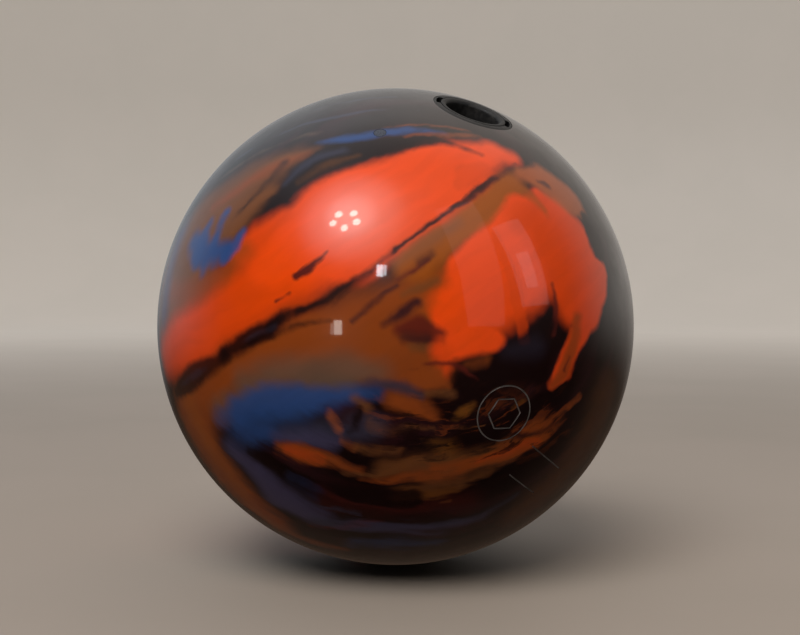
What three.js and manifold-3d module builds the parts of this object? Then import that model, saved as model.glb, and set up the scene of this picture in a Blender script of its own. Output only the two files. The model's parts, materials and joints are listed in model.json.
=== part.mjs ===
// Drilled ten-pin bowling ball with fingertip inserts and an interchangeable thumb.
// Millimetres, +Z up, origin at the ball's centre. Each drilled hole has a group of its own,
// turned so that its local +Z points out of the ball along the hole.
import * as THREE from "three";
import { mergeVertices } from "three/addons/utils/BufferGeometryUtils.js";
import Module from "manifold-3d";

const wasm = await Module();
wasm.setup();

// ---- Driving dimensions ----

const GAP = 0.3;

// Ball: an outer shell cast round a filler core.
const BALL_RADIUS = 108;
const COVER_THICKNESS = 19;
const INNER_RADIUS = BALL_RADIUS - COVER_THICKNESS;
const OUTER_SEGMENTS = 48;
const INNER_SEGMENTS = 24;
const ROUND_SEGMENTS = 24;
const PAST_SURFACE = 120;

// Where the holes and markers point, from the ball's centre.
const THUMB_DIRECTION = new THREE.Vector3(0.31, -0.385, 0.869).normalize();
const SPAN_ANGLE = THREE.MathUtils.degToRad(66);
const MARKER_DIRECTION = new THREE.Vector3(-0.058, -0.667, 0.743).normalize();
const PIN_OFFSET_ANGLE = THREE.MathUtils.degToRad(38);

// Thumb: outer sleeve glued in the ball, slug that slides and twists inside it.
// Heights are measured from the ball's centre along the thumb axis.
const SLEEVE_RADIUS = 17.5;
const SLEEVE_BORE = 14.8;
const SLEEVE_BOTTOM = 20;
const SLEEVE_FLOOR = 4;
const SLEEVE_INSIDE = SLEEVE_BOTTOM + SLEEVE_FLOOR;
const SLEEVE_SINK = 0.2;
const RING_THICKNESS = 3.4;
const RING_BORE = 8;
const CAP_THICKNESS = 4;
const CAP_BASE = SLEEVE_INSIDE + GAP + RING_THICKNESS + 0.4;
const CAP_TOP = CAP_BASE + CAP_THICKNESS;
const LUG_REACH = 16.3;
const LUG_WIDTH = 8;
const KEY_SIZE = 4;
const KEY_OFFSET = 11;
const SLUG_RADIUS = 14.5;
const SLUG_BASE = CAP_TOP + GAP;
const SLUG_SINK = 0.4;
const THUMB_RADIUS = 11.75;
const THUMB_FLOOR = 42;
const THUMB_CHAMFER = 1.5;
const SCREW_RADIUS = 2;
const SCREW_HEAD_RADIUS = 4;
const SCREW_HEAD_HEIGHT = 1.6;
const SCREW_TOP = SLUG_BASE + 5.6;
const O_RING_RADIUS = 5.5;
const O_RING_WIRE = 1.5;

// Fingers: two parallel holes, each with a soft insert at its mouth.
const FINGER_SPACING = 32;
const FINGER_HOLE_FLOOR = 51;
const INSERT_RADIUS = 12.3;
const INSERT_BORE = 10.3;
const INSERT_LENGTH = 35;
const INSERT_SINK = 0.3;

// Weight block: a bulb turned about the pin axis, with an oval flange towards the mass bias.
const CORE_TOP = 52;
const CORE_BOTTOM = -52;
const FLANGE_HALF_SIZE = [46, 27, 24];
const CAVITY_SCALE = 1.015;
const FLIP_INNER = 25;
const FLIP_HALF_WIDTH = 13;
const PIN_RADIUS = 6.35;
const PIN_SOCKET_DEPTH = 6;
const MARKER_RADIUS = 2.4;
const MARKER_DEPTH = 8;

// ---- Solids and frames ----

// A closed three.js geometry as a manifold-3d solid.
function solid(geometry) {
  const bare = geometry.clone();
  bare.deleteAttribute("normal");
  bare.deleteAttribute("uv");
  const merged = mergeVertices(bare, 1e-4);
  const corners = merged.index.array;
  const triVerts = [];
  for (let i = 0; i < corners.length; i += 3) {
    const [a, b, c] = [corners[i], corners[i + 1], corners[i + 2]];
    if (a !== b && b !== c && c !== a) triVerts.push(a, b, c);
  }
  return new wasm.Manifold(new wasm.Mesh({
    numProp: 3,
    vertProperties: Float32Array.from(merged.attributes.position.array),
    triVerts: Uint32Array.from(triVerts),
  }));
}

function sphere(radius, segments) {
  return solid(new THREE.SphereGeometry(radius, segments, segments / 2).rotateX(Math.PI / 2));
}

// A body turned about Z from [radius, height] points that start and end on the axis.
function turned(points) {
  const profile = points.map(([radius, height]) => new THREE.Vector2(radius, height));
  return solid(new THREE.LatheGeometry(profile, ROUND_SEGMENTS).rotateX(Math.PI / 2));
}

function rod(radius, from, to) {
  return turned([[0, from], [radius, from], [radius, to], [0, to]]);
}

function block(from, to) {
  const size = to.map((value, axis) => value - from[axis]);
  const middle = to.map((value, axis) => (value + from[axis]) / 2);
  return solid(new THREE.BoxGeometry(...size).translate(...middle));
}

function group(zAxis, xAxis) {
  const yAxis = new THREE.Vector3().crossVectors(zAxis, xAxis);
  const frame = new THREE.Group();
  frame.quaternion.setFromRotationMatrix(new THREE.Matrix4().makeBasis(xAxis, yAxis, zAxis));
  frame.updateMatrix();
  return frame;
}

// The same solid, moved from a group's frame into the ball's.
function placed(body, frame) {
  return body.transform(frame.matrix.elements);
}

function addPart(parent, name, body, look) {
  const mesh = body.getMesh();
  const geometry = new THREE.BufferGeometry();
  geometry.setAttribute("position", new THREE.BufferAttribute(mesh.vertProperties, 3));
  geometry.setIndex(new THREE.BufferAttribute(mesh.triVerts, 1));
  geometry.computeVertexNormals();
  const part = new THREE.Mesh(geometry, new THREE.MeshStandardMaterial(look));
  part.name = name;
  parent.add(part);
}

// Height of a sphere about the ball's centre at a distance from a hole's axis.
function domeHeight(radius, offAxis) {
  return Math.sqrt(radius * radius - offAxis * offAxis);
}

// ---- Frames of the holes ----

function perpendicular(towards, axis) {
  return towards.clone().addScaledVector(axis, -towards.dot(axis)).normalize();
}

function between(axis, side, angle) {
  return axis.clone().multiplyScalar(Math.cos(angle)).addScaledVector(side, Math.sin(angle));
}

const gripDirection = perpendicular(new THREE.Vector3(0, 1, 0), THUMB_DIRECTION);
const fingerDirection = between(THUMB_DIRECTION, gripDirection, SPAN_ANGLE);
const acrossGrip = new THREE.Vector3().crossVectors(gripDirection, THUMB_DIRECTION);
// The pin lies a quarter turn from the mass-bias marker, to one side of the fingers.
const besideMarker = perpendicular(fingerDirection, MARKER_DIRECTION);
const pinSide = new THREE.Vector3().crossVectors(MARKER_DIRECTION, besideMarker);
const pinDirection = between(besideMarker, pinSide, PIN_OFFSET_ANGLE);

const thumbFrame = group(THUMB_DIRECTION, acrossGrip);
const fingerFrame = group(fingerDirection, acrossGrip);
const coreFrame = group(pinDirection, MARKER_DIRECTION);
const markerFrame = group(MARKER_DIRECTION, pinDirection);

// ---- Thumb parts, in the thumb frame ----

function makeOuterSleeve() {
  const rimRadius = BALL_RADIUS - SLEEVE_SINK;
  const grooveFrom = CAP_BASE - GAP;
  const grooveTo = CAP_TOP + GAP;
  const grooveRadius = LUG_REACH + GAP;
  const slotHalfWidth = LUG_WIDTH / 2 + 0.6;
  const shell = turned([
    [0, SLEEVE_BOTTOM],
    [SLEEVE_RADIUS, SLEEVE_BOTTOM],
    [SLEEVE_RADIUS, domeHeight(rimRadius, SLEEVE_RADIUS)],
    [SLEEVE_BORE, domeHeight(rimRadius, SLEEVE_BORE)],
    [SLEEVE_BORE, SLEEVE_INSIDE],
    [0, SLEEVE_INSIDE],
  ]);
  const groove = rod(grooveRadius, grooveFrom, grooveTo);
  const slots = rod(grooveRadius, grooveFrom, PAST_SURFACE).intersect(
    block([-grooveRadius, -slotHalfWidth, grooveFrom], [grooveRadius, slotHalfWidth, PAST_SURFACE]),
  );
  return shell.subtract(groove).subtract(slots);
}

function makeDetentRing() {
  const base = SLEEVE_INSIDE + GAP;
  const top = base + RING_THICKNESS;
  const ring = turned([
    [RING_BORE, base],
    [SLEEVE_BORE - GAP, base],
    [SLEEVE_BORE - GAP, top],
    [RING_BORE, top],
    [RING_BORE, base],
  ]);
  const keyway = KEY_SIZE / 2 + GAP;
  return [-KEY_OFFSET, KEY_OFFSET].reduce((body, x) => body.subtract(
    block([x - keyway, -keyway, base - 1], [x + keyway, keyway, top + 1]),
  ), ring);
}

function makeTensionRing() {
  const height = SLEEVE_INSIDE + GAP + O_RING_WIRE;
  return solid(new THREE.TorusGeometry(O_RING_RADIUS, O_RING_WIRE, 8, 24).translate(0, 0, height));
}

function makeEndCap() {
  const keyBase = SLEEVE_INSIDE + 2 * GAP;
  const lugs = rod(LUG_REACH, CAP_BASE, CAP_TOP).intersect(
    block([-LUG_REACH, -LUG_WIDTH / 2, CAP_BASE], [LUG_REACH, LUG_WIDTH / 2, CAP_TOP]),
  );
  const keys = [-KEY_OFFSET, KEY_OFFSET].map((x) => block(
    [x - KEY_SIZE / 2, -KEY_SIZE / 2, keyBase],
    [x + KEY_SIZE / 2, KEY_SIZE / 2, CAP_TOP - 1],
  ));
  return rod(SLEEVE_BORE - GAP, CAP_BASE, CAP_TOP)
    .add(lugs)
    .add(keys[0])
    .add(keys[1])
    .subtract(rod(SCREW_RADIUS + GAP, CAP_BASE - 1, CAP_TOP + 1))
    .subtract(rod(SCREW_HEAD_RADIUS + GAP, CAP_BASE - 1, CAP_BASE + SCREW_HEAD_HEIGHT + 2 * GAP));
}

function makeCapScrew() {
  const headTop = CAP_BASE + GAP + SCREW_HEAD_HEIGHT;
  const socket = solid(new THREE.CylinderGeometry(1.5, 1.5, 2, 6).rotateX(Math.PI / 2)
    .translate(0, 0, CAP_BASE + GAP));
  return turned([
    [0, CAP_BASE + GAP],
    [SCREW_HEAD_RADIUS, CAP_BASE + GAP],
    [SCREW_HEAD_RADIUS, headTop],
    [SCREW_RADIUS, headTop],
    [SCREW_RADIUS, SCREW_TOP],
    [0, SCREW_TOP],
  ]).subtract(socket);
}

function makeThumbSlug() {
  const rimRadius = BALL_RADIUS - SLUG_SINK;
  const chamferRadius = THUMB_RADIUS + THUMB_CHAMFER;
  const body = turned([
    [0, SLUG_BASE],
    [SLUG_RADIUS, SLUG_BASE],
    [SLUG_RADIUS, domeHeight(rimRadius, SLUG_RADIUS)],
    [chamferRadius, domeHeight(rimRadius, chamferRadius)],
    [THUMB_RADIUS, domeHeight(rimRadius, THUMB_RADIUS) - THUMB_CHAMFER],
    [THUMB_RADIUS, THUMB_FLOOR],
    [0, THUMB_FLOOR],
  ]);
  return body.subtract(rod(SCREW_RADIUS + GAP, SLUG_BASE - 1, SCREW_TOP + GAP));
}

// ---- Finger inserts, in the finger frame ----

function makeFingerInsert(x) {
  const base = BALL_RADIUS - INSERT_LENGTH;
  const tube = rod(INSERT_RADIUS, base, PAST_SURFACE).subtract(
    rod(INSERT_BORE, base - 1, PAST_SURFACE + 1),
  );
  return tube.translate(x, 0, 0).intersect(sphere(BALL_RADIUS - INSERT_SINK, OUTER_SEGMENTS));
}

// ---- Core parts, in the core frame: +Z towards the pin, +X towards the mass bias ----

function makeCoreBlank() {
  const bulb = turned([
    [0, CORE_BOTTOM],
    [26, CORE_BOTTOM],
    [33, -43],
    [34, -33],
    [27, -14],
    [27, 6],
    [33, 24],
    [33, 36],
    [22, CORE_TOP],
    [0, CORE_TOP],
  ]);
  const flange = solid(new THREE.SphereGeometry(1, 24, 12).scale(...FLANGE_HALF_SIZE));
  return bulb.add(flange);
}

function makeFlipPocket(clearance) {
  const half = FLIP_HALF_WIDTH + clearance;
  return block([FLIP_INNER - clearance, -half, -half], [BALL_RADIUS, half, half]);
}

// ---- Bores, in the ball's frame ----

function makeBores() {
  const fingers = [-1, 1].map((side) => rod(INSERT_RADIUS + GAP, FINGER_HOLE_FLOOR, PAST_SURFACE)
    .translate(side * FINGER_SPACING / 2, 0, 0));
  const markerFloor = BALL_RADIUS - MARKER_DEPTH - GAP;
  return {
    thumb: placed(rod(SLEEVE_RADIUS + GAP, SLEEVE_BOTTOM - GAP, PAST_SURFACE), thumbFrame),
    fingers: placed(fingers[0].add(fingers[1]), fingerFrame),
    pin: placed(rod(PIN_RADIUS + GAP, CORE_TOP - PIN_SOCKET_DEPTH, PAST_SURFACE), coreFrame),
    marker: placed(rod(MARKER_RADIUS + GAP, markerFloor, PAST_SURFACE), markerFrame),
  };
}

// ---- Assembly ----

const coverLook = { color: 0xd4501e, roughness: 0.12, metalness: 0 };
const fillerLook = { color: 0x5b5f66, roughness: 0.8, metalness: 0 };
const blockLook = { color: 0x2f6fb5, roughness: 0.6, metalness: 0 };
const flipLook = { color: 0xc9b037, roughness: 0.6, metalness: 0 };
const pinLook = { color: 0xe8e4d8, roughness: 0.2, metalness: 0 };
const insertLook = { color: 0x1f1f22, roughness: 0.55, metalness: 0 };
const sleeveLook = { color: 0x141416, roughness: 0.3, metalness: 0 };
const slugLook = { color: 0x26262a, roughness: 0.45, metalness: 0 };
const capLook = { color: 0x3a3a3e, roughness: 0.5, metalness: 0 };
const ringLook = { color: 0xb8bcc2, roughness: 0.5, metalness: 0 };
const rubberLook = { color: 0x101010, roughness: 0.9, metalness: 0 };
const steelLook = { color: 0xb9bcc0, roughness: 0.35, metalness: 1 };

const bores = makeBores();
const coreBlank = makeCoreBlank();
const coreBores = [bores.thumb, bores.fingers, bores.pin];
const toCore = coreFrame.matrix.clone().invert();
const cutBy = (body, cutters) => cutters.reduce((left, cutter) => left.subtract(cutter), body);
const inCore = (body) => body.transform(toCore.elements);

const ball = new THREE.Group();

const cover = sphere(BALL_RADIUS, OUTER_SEGMENTS).subtract(sphere(INNER_RADIUS, INNER_SEGMENTS));
addPart(ball, "coverstock", cutBy(cover, Object.values(bores)), coverLook);

const cavity = placed(coreBlank.scale(CAVITY_SCALE), coreFrame);
const filler = sphere(INNER_RADIUS - GAP, INNER_SEGMENTS).subtract(cavity);
addPart(ball, "outer_core", cutBy(filler, coreBores), fillerLook);

const weightBlock = cutBy(coreBlank.subtract(makeFlipPocket(GAP)), coreBores.map(inCore));
const flipBlock = cutBy(coreBlank.intersect(makeFlipPocket(0)), coreBores.map(inCore));
addPart(coreFrame, "weight_block", weightBlock, blockLook);
addPart(coreFrame, "flip_block", flipBlock, flipLook);
addPart(coreFrame, "locator_pin", turned([
  [0, CORE_TOP - PIN_SOCKET_DEPTH + GAP],
  [PIN_RADIUS, CORE_TOP - PIN_SOCKET_DEPTH + GAP],
  [PIN_RADIUS, domeHeight(BALL_RADIUS, PIN_RADIUS)],
  [0, BALL_RADIUS],
]), pinLook);
ball.add(coreFrame);

addPart(markerFrame, "mass_bias_marker", turned([
  [0, BALL_RADIUS - MARKER_DEPTH],
  [MARKER_RADIUS, BALL_RADIUS - MARKER_DEPTH],
  [MARKER_RADIUS, domeHeight(BALL_RADIUS, MARKER_RADIUS)],
  [0, BALL_RADIUS],
]), pinLook);
ball.add(markerFrame);

addPart(fingerFrame, "finger_insert_middle", makeFingerInsert(FINGER_SPACING / 2), insertLook);
addPart(fingerFrame, "finger_insert_ring", makeFingerInsert(-FINGER_SPACING / 2), insertLook);
ball.add(fingerFrame);

addPart(thumbFrame, "thumb_outer_sleeve", makeOuterSleeve(), sleeveLook);
addPart(thumbFrame, "detent_ring", makeDetentRing(), ringLook);
addPart(thumbFrame, "tension_o_ring", makeTensionRing(), rubberLook);
addPart(thumbFrame, "slug_end_cap", makeEndCap(), capLook);
addPart(thumbFrame, "end_cap_screw", makeCapScrew(), steelLook);
addPart(thumbFrame, "thumb_slug", makeThumbSlug(), slugLook);
ball.add(thumbFrame);

export default ball;
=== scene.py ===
"""A drilled ten-pin bowling ball in swirled orange, black, brown and blue, resting on a pale floor.

Metres, +Z up, origin at the ball's centre. The camera looks along +Y. Places on the ball are given as
(azimuth, elevation) in degrees: azimuth 0 faces the camera and grows towards +X, elevation grows upwards.
"""
import json
import math

import bmesh
import bpy
import numpy as np
from mathutils import Matrix, Vector


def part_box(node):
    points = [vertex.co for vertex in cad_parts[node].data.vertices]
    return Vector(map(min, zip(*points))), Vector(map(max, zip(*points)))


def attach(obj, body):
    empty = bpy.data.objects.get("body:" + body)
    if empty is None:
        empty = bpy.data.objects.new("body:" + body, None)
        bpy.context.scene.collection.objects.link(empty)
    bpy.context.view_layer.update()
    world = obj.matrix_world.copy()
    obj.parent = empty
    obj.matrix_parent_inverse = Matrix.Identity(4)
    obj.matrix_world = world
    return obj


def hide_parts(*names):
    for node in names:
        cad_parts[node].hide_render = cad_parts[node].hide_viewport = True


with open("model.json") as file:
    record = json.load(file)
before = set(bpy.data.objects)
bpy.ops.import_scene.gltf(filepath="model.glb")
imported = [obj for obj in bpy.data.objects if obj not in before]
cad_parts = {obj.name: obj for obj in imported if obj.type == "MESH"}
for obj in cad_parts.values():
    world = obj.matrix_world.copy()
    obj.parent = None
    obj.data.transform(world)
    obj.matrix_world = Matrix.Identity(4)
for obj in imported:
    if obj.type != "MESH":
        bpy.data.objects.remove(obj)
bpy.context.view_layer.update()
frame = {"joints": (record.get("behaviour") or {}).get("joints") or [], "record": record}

MM = 0.001

# ---- Sizes, in millimetres unless they say otherwise ----

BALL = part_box("coverstock")[1].z / MM
SPAN_ANGLE = math.radians(66)
FINGER_OFFSET = 16
FINGER_FLOOR = 51
INSERT_RADIUS = 12.5
INSERT_BORE = 10.3
INSERT_LENGTH = 35
SLEEVE_RADIUS = 17.7
SLEEVE_BORE = 14.8
SLEEVE_BASE = 20
SLUG_RADIUS = 14.5
SLUG_BASE = 32.4
THUMB_RADIUS = 11.75
THUMB_FLOOR = 42
CORE_HALF_LENGTH = 52
PIN_RADIUS = 6.5
PIN_BASE = CORE_HALF_LENGTH - 5.7
MARKER_RADIUS = 2.5
MARKER_DEPTH = 8
INNER_BALL = 89
SEAM = 0.12
GAP = 0.3
PAST_SKIN = BALL + 10

# ---- Directions ----


def toward(azimuth, elevation):
    a, e = math.radians(azimuth), math.radians(elevation)
    return Vector((math.sin(a) * math.cos(e), -math.cos(a) * math.cos(e), math.sin(e)))


def upright(direction, axis):
    return (direction - axis * direction.dot(axis)).normalized()


def turned_frame(z_axis, x_axis):
    return Matrix((x_axis, z_axis.cross(x_axis), z_axis)).transposed().to_4x4()


thumb_axis = Vector(frame["joints"][0]["axis"]).normalized()
grip_axis = upright(Vector((0, 1, 0)), thumb_axis)
across_grip = grip_axis.cross(thumb_axis)
finger_axis = thumb_axis * math.cos(SPAN_ANGLE) + grip_axis * math.sin(SPAN_ANGLE)


def middle_of(node):
    low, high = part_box(node)
    return (low + high) / 2


marker_axis = middle_of("mass_bias_marker").normalized()
pin_axis = upright(middle_of("locator_pin"), marker_axis)
thumb_frame = turned_frame(thumb_axis, across_grip)
finger_frame = turned_frame(finger_axis, across_grip)
core_frame = turned_frame(pin_axis, marker_axis)
marker_frame = turned_frame(marker_axis, pin_axis)


def placed(name, data):
    """A new object in the scene that shows the data."""
    made = bpy.data.objects.new(name, data)
    bpy.context.scene.collection.objects.link(made)
    return made


# ---- Camera ----

CAMERA_PITCH = math.radians(1.54)
camera_data = bpy.data.cameras.new("camera")
camera_data.lens = 56.25
camera_data.sensor_width = 36
camera_data.shift_x = 0.0056
camera = placed("camera", camera_data)
camera.location = (0, -0.5763, 0.0195)
camera.rotation_euler = (math.pi / 2 - CAMERA_PITCH, 0, 0)
bpy.context.scene.camera = camera
bpy.context.scene.view_settings.view_transform = "Standard"

# ---- Shader graphs ----


class Graph:
    """Adds a material's shader nodes in the order they are worked out."""

    def __init__(self, name):
        self.material = bpy.data.materials.new(name)
        self.material.use_nodes = True
        self.tree = self.material.node_tree
        self.tree.nodes.clear()
        self.place = self.node("ShaderNodeTexCoord").outputs["Object"]

    def node(self, kind, **settings):
        made = self.tree.nodes.new(kind)
        for key, value in settings.items():
            setattr(made, key, value)
        return made

    def plug(self, socket, value):
        if isinstance(value, bpy.types.NodeSocket):
            self.tree.links.new(value, socket)
        else:
            socket.default_value = value

    def math(self, operation, *values):
        made = self.node("ShaderNodeMath", operation=operation)
        for socket, value in zip(made.inputs, values):
            self.plug(socket, value)
        return made.outputs[0]

    def share(self, value):
        """The value kept between 0 and 1."""
        made = self.node("ShaderNodeClamp")
        self.plug(made.inputs["Value"], value)
        return made.outputs[0]

    def vector(self, operation, *values, scale=None):
        made = self.node("ShaderNodeVectorMath", operation=operation)
        for socket, value in zip(made.inputs, values):
            self.plug(socket, value)
        if scale is not None:
            self.plug(made.inputs["Scale"], scale)
        gives_number = operation in ("DOT_PRODUCT", "LENGTH", "DISTANCE")
        return made.outputs["Value" if gives_number else "Vector"]

    def noise(self, at, scale, detail=2.0, roughness=0.5, distortion=0.0, output="Fac"):
        made = self.node("ShaderNodeTexNoise")
        self.plug(made.inputs["Vector"], at)
        settings = {"Scale": scale, "Detail": detail, "Roughness": roughness, "Distortion": distortion}
        for key, value in settings.items():
            made.inputs[key].default_value = value
        return made.outputs[output]

    def step(self, value, low, high, start=0.0, end=1.0):
        made = self.node("ShaderNodeMapRange", interpolation_type="SMOOTHSTEP")
        settings = {"Value": value, "From Min": low, "From Max": high, "To Min": start, "To Max": end}
        for key, given in settings.items():
            self.plug(made.inputs[key], given)
        return made.outputs[0]

    def mix(self, factor, first, second):
        made = self.node("ShaderNodeMix", data_type="RGBA")
        for index, value in ((0, factor), (6, first), (7, second)):
            self.plug(made.inputs[index], value)
        return made.outputs[2]

    def bump(self, height, strength, distance):
        made = self.node("ShaderNodeBump")
        made.inputs["Strength"].default_value = strength
        made.inputs["Distance"].default_value = distance
        self.plug(made.inputs["Height"], height)
        return made.outputs["Normal"]

    def finish(self, colour, roughness, normal=None, coat_normal=None, **numbers):
        shader = self.node("ShaderNodeBsdfPrincipled")
        self.plug(shader.inputs["Base Color"], colour)
        self.plug(shader.inputs["Roughness"], roughness)
        for key, value in numbers.items():
            shader.inputs[key.replace("_", " ")].default_value = value
        if normal:
            self.plug(shader.inputs["Normal"], normal)
        if coat_normal:
            self.plug(shader.inputs["Coat Normal"], coat_normal)
        out = self.node("ShaderNodeOutputMaterial")
        self.tree.links.new(shader.outputs[0], out.inputs["Surface"])
        return self.material


# ---- The cover's colours ----


def rgb(red, green, blue):
    return (red, green, blue, 1.0)


ORANGE = rgb(0.96, 0.079, 0.002)
DEEP_ORANGE = rgb(0.82, 0.068, 0.001)
RUST = rgb(0.29, 0.058, 0.006)
BROWN = rgb(0.185, 0.062, 0.016)
OLIVE = rgb(0.20, 0.066, 0.005)
OCHRE = rgb(0.36, 0.085, 0.003)
CLAY = rgb(0.43, 0.10, 0.022)
HAZE = rgb(0.15, 0.09, 0.06)
MAUVE = rgb(0.066, 0.058, 0.135)
BLACK = rgb(0.011, 0.003, 0.003)
PLUM = rgb(0.036, 0.008, 0.012)
WINE = rgb(0.12, 0.013, 0.008)
BLUE = rgb(0.022, 0.074, 0.26)
NAVY = rgb(0.016, 0.03, 0.09)
SLATE = rgb(0.038, 0.038, 0.072)

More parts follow.
